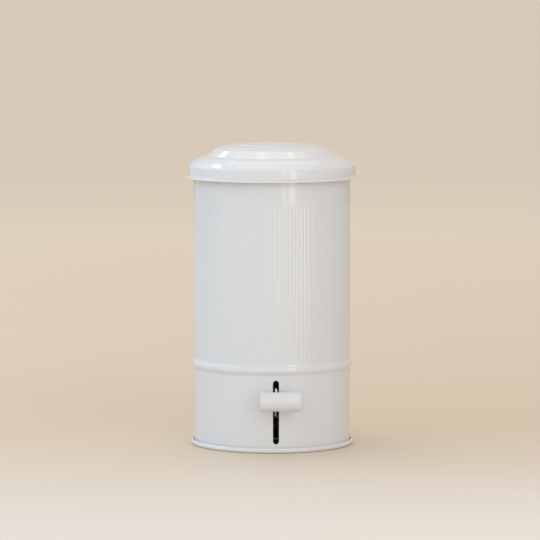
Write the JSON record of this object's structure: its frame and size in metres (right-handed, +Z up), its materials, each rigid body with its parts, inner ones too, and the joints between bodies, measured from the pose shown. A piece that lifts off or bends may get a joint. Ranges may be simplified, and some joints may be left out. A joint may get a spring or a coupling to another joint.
{
  "type": "pedal bin",
  "caption": "Round white metal pedal bin with a fluted drum, a stepped lid that a foot pedal lifts, and a lift-out bucket with a bail.",
  "frame": {"origin": "on the floor, on the drum's own axis", "axes": "+Z up; the pedal and its slot are at the front on -Y; the lid's hinge is at the rear on +Y; +X is right as seen from the front"},
  "size_m": [0.202, 0.225, 0.3457],
  "materials": {
    "white_paint": "glossy baked enamel",
    "white_sleeve": "smooth moulded plastic with a soft sheen",
    "zinc_steel": "zinc plated",
    "bucket_plastic": "fine moulded grain",
    "rubber": "matt"
  },
  "bodies": {
    "bin": {"outer_drum": "white_paint", "base_dish": "white_paint", "base_clips": "zinc_steel", "base_clip_rivets": "zinc_steel", "false_floor": "zinc_steel", "hinge_bracket": "white_paint", "hinge_bracket_rivets": "zinc_steel", "hinge_pin": "zinc_steel", "hinge_pin_cap": "zinc_steel", "rim_bumpers": "rubber", "upper_rod_guide": "zinc_steel", "lower_rod_guide": "zinc_steel", "pivot_bracket": "zinc_steel", "pivot_bracket_rivets": "zinc_steel", "pivot_pin": "zinc_steel", "pivot_pin_cap": "zinc_steel"},
    "lid": {"lid_shell": "white_paint", "lid_arm": "white_paint", "lid_arm_rivets": "zinc_steel", "lift_pin": "zinc_steel", "lift_pin_cap": "zinc_steel"},
    "pedal": {"pedal_lever": "white_paint", "lever_bush": "zinc_steel", "pedal_crossbar": "zinc_steel", "pedal_sleeve": "white_sleeve", "rod_pin": "zinc_steel", "rod_pin_cap": "zinc_steel"},
    "lift": {"lift_rod": "zinc_steel"},
    "bucket": {"inner_bucket": "bucket_plastic"},
    "bail": {"bucket_bail": "zinc_steel"}
  },
  "joints": [
    {"name": "pedal_pivot", "type": "hinge", "parent": "bin", "child": "pedal", "pos_m": [0, 0.02283, 0.0273], "axis": [1, 0, 0], "range_deg": [0, 19]},
    {"name": "lift_slide", "type": "slide", "parent": "bin", "child": "lift", "axis": [0, 0, 1], "range_m": [0, 0.01991]},
    {"name": "lid_hinge", "type": "hinge", "parent": "bin", "child": "lid", "pos_m": [0, 0.097, 0.2973], "axis": [-1, 0, 0], "range_deg": [0, 75.01]},
    {"name": "bucket_lift", "type": "slide", "parent": "bin", "child": "bucket", "axis": [0, 0, 1], "range_m": [0, 0.005]},
    {"name": "bail_swing", "type": "hinge", "parent": "bucket", "child": "bail", "pos_m": [0, 0, 0.3069], "axis": [-1, 0, 0], "range_deg": [0, 15]}
  ],
  "couplings": [
    {"joint": "lift_slide", "follows": "pedal_pivot", "m_per_rad": 0.059726},
    {"joint": "lid_hinge", "follows": "pedal_pivot", "ratio": 3.9474}
  ]
}
